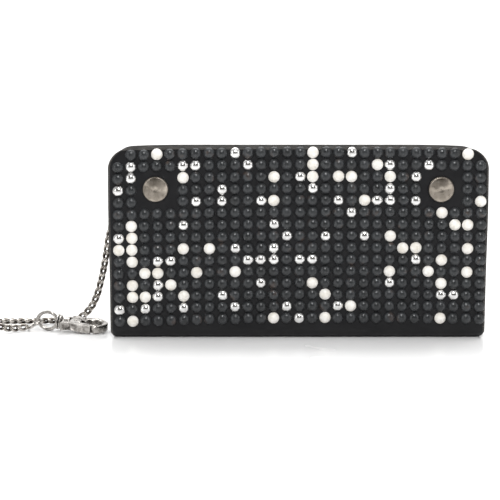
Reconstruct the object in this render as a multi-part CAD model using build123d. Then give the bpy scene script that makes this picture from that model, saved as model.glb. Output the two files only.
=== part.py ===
from build123d import *
import math
import os

# A long bifold wallet that stands on its fold, with a chain and a swivel clasp.
# Millimetres. X runs along the wallet, Y from the front cover to the back cover,
# Z up. The origin is under the middle of the wallet, on the surface it stands on.

# Driving dimensions of the wallet.
LENGTH = 196.0
HEIGHT = 100.0
THICKNESS = 24.0
LEATHER = 2.4
TOP_CORNER_R = 11.0
BOTTOM_CORNER_R = 4.0
FOLD_R = 6.0                # outer radius of the fold's two bends
STUD_H = 2.0                # a stud above the leather
TAB_RISE = 5.0              # the ring's leather loop behind the back cover

# The box of the wallet with its studs and its loop is centred on Y = 0.
FRONT_Y = -(THICKNESS + TAB_RISE + STUD_H) / 2 + STUD_H
BACK_Y = FRONT_Y + THICKNESS
MID_Y = (FRONT_Y + BACK_Y) / 2

# Layers, as depths from the front face.
LINING = 1.2
CARD_PANEL = 0.9
CARD_COUNT = 4
FIT_GAP = 0.4               # between the front half and the back half
FACE_PANEL = 1.2
POCKET_DEPTH = 8.4          # from the face panel's back to the pocket's outer wall
POCKET_WALL = 0.8
BILL_GAP = 1.4
DIVIDER = 0.8

LINING_BOTTOM = 8.0
LINING_TOP = 97.0
LINING_INSET = 3.0
CARD_TOP = 62.0             # the first card panel's top edge
CARD_STEP = 8.0             # each next panel is this much lower
CARD_INSET = 1.0
DIVIDER_DROP = 5.0
POCKET_INSET = 12.0         # the coin pocket inside the wallet's ends
POCKET_BOTTOM = 14.0
POCKET_TOP = 94.0

# Studs.
STUD_D = 5.9
STUD_RIM = 0.3
COLUMNS = 29
COLUMN_PITCH = 6.69
ROW_PITCH = 6.15
GRID_MIDDLE_X = 1.2
TOP_ROW_Z = 96.6
# One letter for each stud, in rows from the top: b black, s silver, w white.
STUD_CHART = (
    "_bbwbbbbbsbbbbbwbbsbbbbbbbbw_",
    "bsbbbssbbbsbbbbwbbbbwsbbsbbbb",
    "bs___wbbbbbbwbswbwwbbwbs___bb",
    "sb___bbbsbbbbbbsbbbbbsbb___bb",
    "bb___bsbsbbswbbbbsbwssbs___bw",
    "bbbbbbbbbbbbbbbbbbsbbbbbbwbbb",
    "bwbbbsbbbbbbsbbbbbbbbbbbbbwwb",
    "swbbbbbbbbbbbsbbsbbsbwbbbbbbb",
    "wwbbbwbwbsbbsbbbbbbbbbwwbbbwb",
    "bwbssbbbbbsssbssbbbbbbbsbwbbb",
    "bbwwbbwbbwbbbbbbbbbbbwbbwbbwb",
    "bwbswbbbbbbsbbbwbbbbbsbbbwbbb",
    "bwwsbwbbsbbbbbbbwbbbbbbbbssbb",
    "sbsbbsbbbsbbbsbbbswbbbbbbbbbb",
    "bwbbbbbbbbbbwsbwbbbbbbbbbwbbb",
)

# Snaps.
SNAP_X = (-73.6, 73.6)
SNAP_Z = 78.2
CAP_R = 6.7
CAP_RISE = 1.5
SHANK_R = 2.0
SOCKET_R = 5.5
SOCKET_HOLE_R = 3.0
SOCKET_H = 2.4
SNAP_BASE_R = 5.2
SNAP_BASE_H = 0.8
SNAP_POST_R = 1.4
POST_FOOT = (4.4, 0.6)      # radius, thickness
NUB_R = 2.7
NUB_H = 2.4

# Zip of the coin pocket.
ZIP_Z = 86.5
ZIP_HALF = 60.0
SLIDER_X = 53.0
WINDOW_H = 8.4
TAPE = 0.5
TAPE_H = 6.4
TOOTH = (1.1, 1.6, 1.9)     # along X, through Y, out from the middle in Z
TOOTH_PITCH = 2.0
ZIP_SLOT = 0.9              # the hairline between the two rows of teeth
TEETH_HALF = 56.5
SLIDER_SIZE = (7.0, 6.6)    # along the zip, across it
PULL_LENGTH = 17.0
PULL_W = 5.6
PULL_T = 0.9

# Ring on the back cover.
RING_X = -91.0
BAR_Z = 72.0
D_WIRE_R = 0.9
D_R = 5.9
TAB_W = 9.0
TAB_T = 1.5
TAB_TOP = 90.0
RIVET_Z = 83.0
RIVET_R = 3.6
RIVET_RISE = 1.2
RIVET_SHANK_R = 1.2
D_LEG = 3.0                 # the D's straight legs below its bar
LINK_RING_R = 3.0
LINK_WIRE_R = 0.5

# Chain.
CHAIN_D = 4.1
COIL_X = -187.5
COIL_Y = -4.0
COIL_OUT_R = 27.2
COIL_IN_R = 16.8
CHAIN_A = (
    (-98.2, 13.6, 60.0),
    (-101.4, 14.6, 50.0),
    (-103.2, 15.8, 38.0),
    (-106.2, 17.0, 24.5),
    (-110.4, 19.2, 12.0),
    (-118.6, 22.0, 3.0),
    (-130.5, 23.6, 2.15),
    (-144.0, 22.2, 2.15),
    (-157.5, 21.6, 2.15),
    (-171.5, 22.5, 2.15),
    (-184.5, 23.2, 2.15),
)
CHAIN_B = (
    (-185.0, -20.7, 2.3),
    (-176.4, -17.6, 4.2),
    (-168.2, -11.8, 6.6),
    (-159.6, -5.0, 5.0),
    (-153.1, -0.8, 2.4),
    (-146.7, 4.0, 2.3),
)

# Clasp, in its own frame: U from the eye to the hook along the swivel's axis,
# V across the hook away from the lever, W through its thickness.
EYE_PLACE = (-133.4, 5.6, 5.75)
CLASP_YAW = -8.0
CLASP_PITCH = 5.5
CLASP_ROLL = 7.0
EYE_R = 5.6
EYE_IN_R = 3.9
EYE_W = 2.4
FLANGE_R = 4.1
POST_R = 1.5
POST_END = 11.8
BODY_T = 4.4
TONGUE_T = 2.2
BOSS_R = 3.3
BOSS_START = 9.0
PIVOT_U = 15.2
PIVOT_V = 0.0
HOOK_U = 24.9
HOOK_V = 0.6
HOOK_R = 7.7
HOOK_IN_R = 4.3
NOSE_IN_R = 6.1
GATE_R = 5.85
GATE_TIP_R = 13.6
EAR_R = 3.0
PIN_R = 1.0
EYE_RING_R = 4.2
EYE_RING_WIRE_R = 0.75
EYE_RING_SLOPE = 36.0


def box(x0, x1, y0, y1, z0, z1):
    """A box from its limits."""
    size = Box(x1 - x0, y1 - y0, z1 - z0)
    return Pos((x0 + x1) / 2, (y0 + y1) / 2, (z0 + z1) / 2) * size


def disc(x, y0, y1, z, radius):
    """A disc or pin along Y."""
    return Pos(x, (y0 + y1) / 2, z) * Rot(90, 0, 0) * Cylinder(radius, y1 - y0)


def wallet_outline(inset, y0, y1):
    """The wallet's rounded outline seen from the front, as a slab from y0 to y1."""
    half = LENGTH / 2 - inset
    bottom_r = max(BOTTOM_CORNER_R - inset, 1.0)
    top_r = TOP_CORNER_R - inset
    slab = box(-half, half, y0, y1, inset, HEIGHT - inset)
    upright = slab.edges().filter_by(Axis.Y)
    slab = fillet(upright.group_by(Axis.Z)[-1], top_r)
    upright = slab.edges().filter_by(Axis.Y).group_by(Axis.Z)[0]
    return fillet(upright, bottom_r)


def u_section(depth, thickness, bend_r):
    """The U of a folded layer: its outer face lies depth inside the wallet's own."""
    y0, y1 = FRONT_Y + depth, BACK_Y - depth
    outer = box(-LENGTH / 2, LENGTH / 2, y0, y1, depth, HEIGHT + 10)
    low = outer.edges().filter_by(Axis.X).group_by(Axis.Z)[0]
    outer = fillet(low, bend_r)
    inner = box(-LENGTH, LENGTH, y0 + thickness, y1 - thickness, depth + thickness, HEIGHT + 20)
    low = inner.edges().filter_by(Axis.X).group_by(Axis.Z)[0]
    return outer - fillet(low, bend_r - thickness)


def outer_leather():
    """Front cover, fold and back cover, cut from one rounded U."""
    shell = u_section(0.0, LEATHER, FOLD_R) & wallet_outline(0.0, FRONT_Y - 1, BACK_Y + 1)
    above = box(-LENGTH, LENGTH, -50, 50, FOLD_R, HEIGHT + 50)
    front = shell & above & box(-LENGTH, LENGTH, -50, MID_Y, 0, 200)
    back = shell & above & box(-LENGTH, LENGTH, MID_Y, 50, 0, 200)
    fold = shell - above
    for x in SNAP_X:
        front = front - disc(x, FRONT_Y - 1, MID_Y, SNAP_Z, SHANK_R)
    back = back - disc(RING_X, MID_Y, BACK_Y + 1, RIVET_Z, RIVET_SHANK_R)
    return front, fold, back


def fold_lining():
    """The lining carried round inside the fold, up to the two linings."""
    layer = u_section(LEATHER, LINING, FOLD_R - LEATHER)
    return layer & box(-LENGTH / 2 + LINING_INSET, LENGTH / 2 - LINING_INSET, -50, 50, 0, LINING_BOTTOM)


def lining_panel(y0, thickness, top):
    """A flat inner panel, inset from the leather's edge."""
    half = LENGTH / 2 - LINING_INSET
    panel = box(-half, half, y0, y0 + thickness, LINING_BOTTOM, top)
    corners = panel.edges().filter_by(Axis.Y).group_by(Axis.Z)[-1]
    return fillet(corners, TOP_CORNER_R - LINING_INSET)


def front_half():
    """The lining of the front cover and its stepped card panels."""
    y = FRONT_Y + LEATHER
    lining = lining_panel(y, LINING, LINING_TOP)
    for x in SNAP_X:
        lining = lining - disc(x, FRONT_Y, MID_Y, SNAP_Z, SHANK_R)
    y += LINING
    cards = []
    for step in range(CARD_COUNT):
        top = CARD_TOP - CARD_STEP * step
        half = LENGTH / 2 - LINING_INSET - CARD_INSET
        cards.append(box(-half, half, y, y + CARD_PANEL, LINING_BOTTOM + CARD_INSET, top))
        y += CARD_PANEL
    return lining, cards, y


def back_half(face_y):
    """Face panel with its zip window, pocket bag, bill divider and back lining."""
    face = lining_panel(face_y, FACE_PANEL, LINING_TOP)
    window = box(-ZIP_HALF, ZIP_HALF, face_y - 1, face_y + 5,
                 ZIP_Z - WINDOW_H / 2, ZIP_Z + WINDOW_H / 2)
    window = fillet(window.edges().filter_by(Axis.Y), 2.0)
    face = face - window
    for x in SNAP_X:
        face = face - disc(x, face_y - 1, face_y + 5, SNAP_Z, SNAP_POST_R)
    pocket_y = face_y + FACE_PANEL
    pocket_half = LENGTH / 2 - POCKET_INSET
    outer = box(-pocket_half, pocket_half, pocket_y, pocket_y + POCKET_DEPTH, POCKET_BOTTOM, POCKET_TOP)
    inner = box(-pocket_half + POCKET_WALL, pocket_half - POCKET_WALL,
                pocket_y - 1, pocket_y + POCKET_DEPTH - POCKET_WALL,
                POCKET_BOTTOM + POCKET_WALL, POCKET_TOP - POCKET_WALL)
    bag = outer - inner
    divider_y = pocket_y + POCKET_DEPTH + BILL_GAP
    divider = lining_panel(divider_y, DIVIDER, LINING_TOP - DIVIDER_DROP)
    lining = lining_panel(BACK_Y - LEATHER - LINING, LINING, LINING_TOP)
    return face, bag, divider, lining


def snap_parts(front_face_y, lining_y, face_y):
    """Caps and sockets on the front half, studs and posts on the face panel."""
    caps, sockets, studs, posts = [], [], [], []
    for x in SNAP_X:
        cap = disc(x, front_face_y - CAP_RISE, front_face_y, SNAP_Z, CAP_R)
        rim = cap.edges().filter_by(GeomType.CIRCLE).group_by(Axis.Y)[0]
        cap = chamfer(rim, 0.6)
        caps.append(cap + disc(x, front_face_y, lining_y, SNAP_Z, SHANK_R))
        socket = disc(x, lining_y, lining_y + SOCKET_H, SNAP_Z, SOCKET_R)
        rim = socket.edges().filter_by(GeomType.CIRCLE).group_by(Axis.Y)[-1]
        socket = fillet(rim, 0.6)
        sockets.append(socket - disc(x, lining_y + 0.4, lining_y + 9, SNAP_Z, SOCKET_HOLE_R))
        base = disc(x, face_y - SNAP_BASE_H, face_y, SNAP_Z, SNAP_BASE_R)
        nub = disc(x, face_y - SNAP_BASE_H - NUB_H, face_y, SNAP_Z, NUB_R)
        tip = nub.edges().filter_by(GeomType.CIRCLE).group_by(Axis.Y)[0]
        studs.append(base + fillet(tip, 0.7))
        foot_y = face_y + FACE_PANEL
        foot = disc(x, foot_y, foot_y + POST_FOOT[1], SNAP_Z, POST_FOOT[0])
        posts.append(foot + disc(x, face_y, foot_y, SNAP_Z, SNAP_POST_R))
    return caps, sockets, studs, posts


def stud_dome(x, z):
    """One dome stud, flat on the leather."""
    radius = STUD_D / 2
    crown = STUD_H - STUD_RIM
    sphere_r = (radius ** 2 + crown ** 2) / (2 * crown)
    ball = Pos(0, 0, STUD_RIM + crown - sphere_r) * Sphere(sphere_r)
    dome = Pos(0, 0, STUD_H / 2) * Cylinder(radius, STUD_H) & ball
    return Pos(x, FRONT_Y, z) * Rot(90, 0, 0) * dome


def stud_groups():
    """All studs of the front cover, grouped by finish."""
    groups = {"b": [], "s": [], "w": []}
    for row, letters in enumerate(STUD_CHART):
        z = TOP_ROW_Z - row * ROW_PITCH
        for column, letter in enumerate(letters):
            x = GRID_MIDDLE_X + (column - (COLUMNS - 1) / 2) * COLUMN_PITCH
            if letter in groups:
                groups[letter].append(stud_dome(x, z))
    return groups


def zip_parts(face_y):
    """Tapes behind the window, teeth, end stops, slider and pull."""
    tape_y = face_y + FACE_PANEL
    mid_y = tape_y + TAPE / 2
    half_slot = ZIP_SLOT / 2
    tapes, teeth, stops = [], [], []
    for side in (-1, 1):
        z0 = ZIP_Z + side * (half_slot + 0.6)
        z1 = ZIP_Z + side * TAPE_H
        tapes.append(box(-ZIP_HALF - 4, ZIP_HALF + 4, tape_y, tape_y + TAPE, min(z0, z1), max(z0, z1)))
        count = int(2 * TEETH_HALF / TOOTH_PITCH)
        for index in range(count + 1):
            x = -TEETH_HALF + index * TOOTH_PITCH + side * TOOTH_PITCH / 4
            z = ZIP_Z + side * (half_slot + TOOTH[2] / 2)
            tooth = Pos(x, mid_y, z) * Box(*TOOTH)
            tooth = tooth - tapes[-1]
            teeth.append(tooth)
    for end in (-1, 1):
        x = end * (ZIP_HALF - 1.2)
        stops.append(Pos(x, tape_y - 0.5, ZIP_Z) * Box(1.2, 1.0, 5.0))
    return tapes, teeth, stops, tape_y


def zip_slider(tape_y):
    """A front plate and a back plate on a web that runs between the teeth."""
    length, height = SLIDER_SIZE
    front_y0, front_y1 = tape_y - 2.1, tape_y - 1.1
    back_y0, back_y1 = tape_y + 1.4, tape_y + 2.2
    front = box(-length / 2, length / 2, front_y0, front_y1, -height / 2, height / 2)
    front = fillet(front.edges().filter_by(Axis.Y), 2.2)
    back = box(-length / 2, length / 2, back_y0, back_y1, -height / 2, height / 2)
    back = fillet(back.edges().filter_by(Axis.Y), 2.2)
    web = box(-length / 2 + 1, length / 2 - 1, front_y1 - 0.2, back_y0 + 0.2, -0.25, 0.25)
    slider = front + web + back
    return Pos(SLIDER_X, 0, ZIP_Z) * slider, front_y0


def zip_pull(front_y):
    """A flat tab that hangs from the slider's front plate."""
    eye_r = 2.3
    y0, y1 = front_y - 0.1 - PULL_T, front_y - 0.1
    tab = box(-PULL_W / 2, PULL_W / 2, y0, y1, -PULL_LENGTH, -2.5)
    tab = fillet(tab.edges().filter_by(Axis.Y), 1.6)
    neck = box(-1.3, 1.3, y0, y1, -6.0, 0.0)
    eye = disc(0, y0, y1, 0, eye_r)
    pull = tab + neck + eye
    pull = pull - disc(0, y0 - 1, y1 + 1, 0, 0.8) - disc(0, y0 - 1, y1 + 1, -PULL_LENGTH + 3.2, 1.3)
    rivet_head = disc(0, y0 - 0.35, y0 - 0.05, 0, 1.5)
    rivet = rivet_head + disc(0, y0 - 0.1, front_y, 0, 0.75)
    place = Pos(SLIDER_X, 0, ZIP_Z)
    return place * pull, place * rivet


def ring_tab():
    """A strap folded round the ring's bar, its two ends riveted to the back cover."""
    loop_r = D_WIRE_R + 0.1
    centre_y = BACK_Y + TAB_T + loop_r
    back = box(-TAB_W / 2, TAB_W / 2, BACK_Y, BACK_Y + TAB_T, BAR_Z, TAB_TOP)
    face = box(-TAB_W / 2, TAB_W / 2, BACK_Y + TAB_T, BACK_Y + 2 * TAB_T, BAR_Z + 5.0, TAB_TOP)
    link = Rot(0, 90, 0) * (Cylinder(loop_r + TAB_T, TAB_W) - Cylinder(loop_r, TAB_W + 2))
    link = Pos(0, centre_y, BAR_Z) * link
    ramp_side = Polyline((centre_y + loop_r + 0.05, BAR_Z + 0.6), (centre_y + loop_r + TAB_T, BAR_Z),
                         (BACK_Y + 2 * TAB_T, BAR_Z + 7.0), (BACK_Y + TAB_T, BAR_Z + 5.4), close=True)
    ramp = extrude(Plane.YZ * make_face(ramp_side), TAB_W / 2, both=True)
    bore = Pos(0, centre_y, BAR_Z) * Rot(0, 90, 0) * Cylinder(loop_r, TAB_W + 2)
    tab = (back + face + link + ramp) - bore
    tab = Pos(RING_X, 0, 0) * tab
    tab = tab - disc(RING_X, BACK_Y - 1, BACK_Y + 9, RIVET_Z, RIVET_SHANK_R)
    return tab, centre_y


def tab_rivet():
    """A domed rivet through the strap and the back cover."""
    y = BACK_Y + 2 * TAB_T
    head = disc(RING_X, y, y + RIVET_RISE, RIVET_Z, RIVET_R)
    rim = head.edges().filter_by(GeomType.CIRCLE).group_by(Axis.Y)[-1]
    head = fillet(rim, 0.9)
    return head + disc(RING_X, BACK_Y - LEATHER, y, RIVET_Z, RIVET_SHANK_R)


def d_ring(centre_y):
    """A bent-wire D, its straight bar in the strap's loop."""
    z_arc = BAR_Z - D_LEG
    arc = ThreePointArc((RING_X - D_R, centre_y, z_arc), (RING_X, centre_y, z_arc - D_R),
                        (RING_X + D_R, centre_y, z_arc))
    legs = Polyline((RING_X + D_R, centre_y, z_arc), (RING_X + D_R, centre_y, BAR_Z),
                    (RING_X - D_R, centre_y, BAR_Z), (RING_X - D_R, centre_y, z_arc))
    path = Wire([*arc.edges(), *legs.edges()])
    start = path @ 0
    section = Plane(origin=start, z_dir=path % 0) * Circle(D_WIRE_R)
    return sweep(section, path=path, transition=Transition.ROUND)


def wallet_link(centre_y):
    """A small jump ring that hangs in the D and takes the chain's first link."""
    around = math.radians(225)
    lean = math.radians(36)
    outward = Vector(math.cos(around), 0, math.sin(around))
    along_wire = Vector(-math.sin(around), 0, math.cos(around))
    across = along_wire * math.cos(lean) + Vector(0, 1, 0) * math.sin(lean)
    centre = Vector(RING_X, centre_y, BAR_Z - D_LEG) + outward * (D_R + 0.8)
    plane = Plane(origin=centre, x_dir=outward, z_dir=outward.cross(across))
    return plane.location * Torus(LINK_RING_R, LINK_WIRE_R)


def chain_tube(points, name):
    """A run of chain as a plain tube: straight runs joined by tangent arcs."""
    corners = [Vector(*point) for point in points]
    radii = []
    for before, corner, after in zip(corners, corners[1:], corners[2:]):
        first, second = corner - before, after - corner
        half_turn = math.radians(first.get_angle(second)) / 2
        radii.append(0.45 * min(first.length, second.length) / math.tan(half_turn))
    path = FilletPolyline(*corners, radius=radii)
    section = Plane(origin=path @ 0, z_dir=path % 0) * Circle(CHAIN_D / 2)
    tube = sweep(section, path=path)
    expected = math.pi * (CHAIN_D / 2) ** 2 * path.length
    print(name, "radii", [round(radius, 1) for radius in radii], "length", round(path.length, 1),
          "volume ratio", round(tube.volume / expected, 4))
    return tube


def chain_coil():
    """The outer shape of the wound turns."""
    outer = Cylinder(COIL_OUT_R + CHAIN_D / 2, CHAIN_D)
    inner = Cylinder(COIL_IN_R - CHAIN_D / 2, CHAIN_D + 2)
    return Pos(COIL_X, COIL_Y, CHAIN_D / 2 + 0.1) * (outer - inner)


def clasp_place():
    """From the clasp's own frame to the wallet's."""
    return Pos(*EYE_PLACE) * Rot(0, 0, CLASP_YAW) * Rot(0, CLASP_PITCH, 0) * Rot(CLASP_ROLL, 0, 0)


def slab(sketch, thickness):
    """A flat piece of the clasp, centred on its middle plane."""
    return extrude(sketch, thickness / 2, both=True)


def along_u(radius, u0, u1):
    """A round piece on the swivel's axis."""
    return Pos((u0 + u1) / 2, 0, 0) * Rot(0, 90, 0) * Cylinder(radius, u1 - u0)


def wedge(from_deg, to_deg, radius):
    """A pie slice of the hook's circle, as a sketch."""
    steps = 12
    rim = []
    for step in range(steps + 1):
        angle = math.radians(from_deg + (to_deg - from_deg) * step / steps)
        rim.append((HOOK_U + radius * math.cos(angle), HOOK_V + radius * math.sin(angle)))
    return make_face(Polyline((HOOK_U, HOOK_V), *rim, close=True))


def hook_circle(radius):
    return Pos(HOOK_U, HOOK_V) * Circle(radius)


def pivot_circle(radius):
    return Pos(PIVOT_U, PIVOT_V) * Circle(radius)


def rectangle(u0, u1, v0, v1):
    return Pos((u0 + u1) / 2, (v0 + v1) / 2) * Rectangle(u1 - u0, v1 - v0)


def clasp_body():
    """Round base, thin tongue for the lever's ears, far bar, hook and nose."""
    hook = wedge(-25, 178, 20) & (hook_circle(HOOK_R) - hook_circle(HOOK_IN_R))
    nose = wedge(-76, -24, 20) & (hook_circle(HOOK_R) - hook_circle(NOSE_IN_R))
    bar_line = Polyline((BOSS_START + 1.5, 3.3), (BOSS_START + 2.5, 5.0), (16.5, 6.6), (21.5, 7.6),
                        (20.8, 1.6), (18.9, 1.2), (18.2, 3.3), close=True)
    far_bar = make_face(bar_line)
    flat = slab(hook + nose + far_bar - pivot_circle(EAR_R + 0.25), BODY_T)
    tongue = slab(pivot_circle(EAR_R + 0.2) + rectangle(12.0, 18.4, 0.0, 4.0), TONGUE_T)
    boss = along_u(BOSS_R, BOSS_START, 12.0)
    shoulder = slab(rectangle(10.5, 12.0, 0.0, 4.6), BODY_T)
    body = boss + shoulder + tongue + flat
    body = body - along_u(POST_R + 0.06, BOSS_START - 1, POST_END + 0.2)
    body = body - Pos(PIVOT_U, PIVOT_V, 0) * Cylinder(PIN_R, 20)
    return body


def clasp_lever():
    """Two ears on the pivot, a near bar with a hollowed thumb tab, and the gate."""
    ears = slab(pivot_circle(EAR_R) + rectangle(PIVOT_U - EAR_R, PIVOT_U + EAR_R, -5.0, 0.0), BODY_T)
    ears = ears - slab(pivot_circle(EAR_R + 0.45), TONGUE_T + 0.3)
    near_line = Polyline((9.0, -3.9), (8.6, -7.2), (10.2, -6.4), (13.0, -5.5), (16.5, -5.9),
                         (20.5, -7.0), (26.0, -7.1), (26.0, -5.1), (32.0, -4.0), (32.0, -2.6),
                         (17.0, -2.6), (15.0, -3.9), close=True)
    near_bar = make_face(near_line) - pivot_circle(EAR_R + 0.45) - hook_circle(HOOK_IN_R)
    tip = hook_circle(GATE_R) + rectangle(8.0, 25.0, -9.0, 0.0)
    near_bar = near_bar & tip & (pivot_circle(GATE_TIP_R) + rectangle(8.0, 18.0, -9.0, 0.0))
    lever = ears + slab(near_bar, BODY_T)
    return lever - Pos(PIVOT_U, PIVOT_V, 0) * Cylinder(PIN_R + 0.04, 20)


def clasp_eye():
    """Swivel eye with its flange, and the post that turns in the body."""
    ring = Rot(90, 0, 0) * (Cylinder(EYE_R, EYE_W) - Cylinder(EYE_IN_R, EYE_W + 2))
    flange = along_u(FLANGE_R, 5.0, 6.0) + along_u(3.2, 4.4, 5.2)
    washer = along_u(FLANGE_R - 0.4, 6.5, 7.4)
    post = along_u(POST_R, 5.0, POST_END)
    return ring + flange + washer + post


def clasp_pin():
    """The rivet through the body's tongue and the lever's ears."""
    shank = Cylinder(PIN_R, BODY_T + 0.5)
    return Pos(PIVOT_U, PIVOT_V, 0) * shank


def clasp_spring():
    """A short leaf that closes the gate, in the slot behind the tongue."""
    return slab(rectangle(18.7, 19.5, -2.5, 0.6), 1.2)


def eye_ring():
    """The jump ring between the eye and the chain, leaning down to the left."""
    slope = math.radians(EYE_RING_SLOPE)
    hold = math.radians(200)
    middle = (EYE_R + EYE_IN_R) / 2
    reach = EYE_RING_R - EYE_RING_WIRE_R - (EYE_R - EYE_IN_R) / 2 - 0.3
    u = middle * math.cos(hold) - reach * math.cos(slope)
    w = middle * math.sin(hold) - reach * math.sin(slope)
    return Pos(u, 0, w) * Rot(0, -EYE_RING_SLOPE, 0) * Torus(EYE_RING_R, EYE_RING_WIRE_R)


def write(name, *solids):
    """One STEP for each node, with as many solids as the node has."""
    flat = []
    for item in solids:
        flat.extend(item.solids())
    shape = flat[0] if len(flat) == 1 else Compound(children=flat)
    export_step(shape, os.path.join("parts", name + ".step"))


def main():
    os.makedirs("parts", exist_ok=True)
    front, fold, back = outer_leather()
    write("front_cover", front)
    write("fold_leather", fold)
    write("back_cover", back)
    write("fold_lining", fold_lining())

    lining, cards, inner_y = front_half()
    write("front_lining", lining)
    for number, card in enumerate(cards, start=1):
        write("card_panel_%d" % number, card)
    face_y = inner_y + FIT_GAP
    face, bag, divider, back_lining = back_half(face_y)
    write("coin_pocket_face", face)
    write("coin_pocket_bag", bag)
    write("bill_divider", divider)
    write("back_lining", back_lining)

    lining_y = FRONT_Y + LEATHER + LINING
    caps, sockets, studs, posts = snap_parts(FRONT_Y, lining_y, face_y)
    write("snap_caps", *caps)
    write("snap_sockets", *sockets)
    write("snap_studs", *studs)
    write("snap_posts", *posts)
    groups = stud_groups()
    write("black_studs", *groups["b"])
    write("silver_studs", *groups["s"])
    write("white_studs", *groups["w"])

    tapes, teeth, stops, tape_y = zip_parts(face_y)
    write("zip_tapes", *tapes)
    write("zip_teeth", *teeth)
    write("zip_stops", *stops)
    slider, slider_y = zip_slider(tape_y)
    pull, pull_rivet = zip_pull(slider_y)
    write("zip_slider", slider)
    write("zip_pull_rivet", pull_rivet)
    write("zip_pull", pull)

    tab, ring_y = ring_tab()
    write("ring_tab", tab)
    write("tab_rivet", tab_rivet())
    write("d_ring", d_ring(ring_y))
    write("wallet_link", wallet_link(ring_y))

    write("chain_run_a", chain_tube(CHAIN_A, "chain_run_a"))
    write("chain_coil", chain_coil())
    write("chain_run_b", chain_tube(CHAIN_B, "chain_run_b"))

    place = clasp_place()
    pieces = {"clasp_body": clasp_body(), "clasp_lever": clasp_lever(), "clasp_eye": clasp_eye(),
              "clasp_pin": clasp_pin(), "clasp_spring": clasp_spring(), "eye_ring": eye_ring()}
    for name, piece in pieces.items():
        moved = place * piece
        write(name, moved)
        print(name, "lowest", round(moved.bounding_box().min.Z, 2))
    axis = (place * Pos(1, 0, 0)).position - place.position
    across = (place * Pos(0, 0, 1)).position - place.position
    pivot = (place * Pos(PIVOT_U, PIVOT_V, 0)).position
    print("clasp axis", axis, "lever axis", across, "pivot", pivot)


main()
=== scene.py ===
import math
import random

import bpy
import numpy as np
from mathutils import Matrix, Vector


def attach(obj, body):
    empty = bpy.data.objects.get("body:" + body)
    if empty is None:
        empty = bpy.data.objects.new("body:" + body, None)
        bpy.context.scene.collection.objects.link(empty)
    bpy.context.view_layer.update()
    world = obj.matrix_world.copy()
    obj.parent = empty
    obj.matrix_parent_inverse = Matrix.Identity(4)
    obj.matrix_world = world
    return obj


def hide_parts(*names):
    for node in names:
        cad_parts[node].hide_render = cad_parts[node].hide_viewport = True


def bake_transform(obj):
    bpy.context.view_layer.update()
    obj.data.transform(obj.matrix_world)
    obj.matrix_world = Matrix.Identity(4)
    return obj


# The visual model of the studded chain wallet, in the frame of its CAD: X along the wallet,
# Y from the front cover to the back cover, Z up. Millimetres, made metres by MM.

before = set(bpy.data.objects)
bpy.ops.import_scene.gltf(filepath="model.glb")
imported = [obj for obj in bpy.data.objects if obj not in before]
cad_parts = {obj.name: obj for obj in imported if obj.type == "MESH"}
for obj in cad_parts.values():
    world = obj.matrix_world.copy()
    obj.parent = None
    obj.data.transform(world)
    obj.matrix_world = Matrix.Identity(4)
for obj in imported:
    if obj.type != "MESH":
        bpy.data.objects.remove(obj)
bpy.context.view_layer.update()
random.seed(11)

MM = 0.001

# Driving sizes, the same as the CAD's, but for the links' pitch and wire.
LENGTH = 196.0
HEIGHT = 100.0
FRONT_Y = -13.5
BACK_Y = 10.5
LEATHER = 2.4
FOLD_R = 6.0
TOP_CORNER_R = 11.0
BOTTOM_CORNER_R = 4.0
LINING = 1.2
LINING_INSET = 3.0
LINING_BOTTOM = 8.0
CARD_PANEL = 0.9
CARD_COUNT = 4
CARD_TOP = 62.0
CARD_STEP = 8.0
FACE_Y = -5.9               # the coin pocket's face panel, seen when the wallet is open
STUD_D = 5.9
STUD_H = 2.0
STUD_RIM = 0.3
CHAIN_D = 4.1
LINK_PITCH = 4.2
LINK_WIRE_R = 0.8


# ---------------------------------------------------------------- materials

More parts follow.
